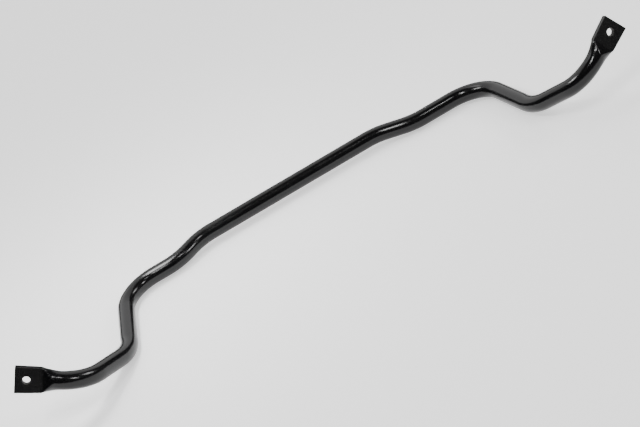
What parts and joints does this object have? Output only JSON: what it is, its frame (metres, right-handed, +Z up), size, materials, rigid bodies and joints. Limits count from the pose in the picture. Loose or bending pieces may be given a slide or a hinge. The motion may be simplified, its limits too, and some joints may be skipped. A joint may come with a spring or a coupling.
{
  "type": "sway bar",
  "caption": "Round solid-steel sway bar with a jogged centre section, bent arms and forged flat ends drilled for drop links, coated semi-gloss black.",
  "frame": {"origin": "on the floor, under the middle of the bar's bounding box", "axes": "+X along the straight centre section, from the left paddle to the right paddle; +Y from the paddles towards the centre section; +Z up, with the loose bar lying on a floor on its shoulders and elbows, its paddles raised"},
  "size_m": [1.061, 0.3096, 0.1316],
  "materials": {
    "black_coating": "semi-gloss"
  },
  "bodies": {
    "root": {"sway_bar": "black_coating"}
  },
  "joints": []
}
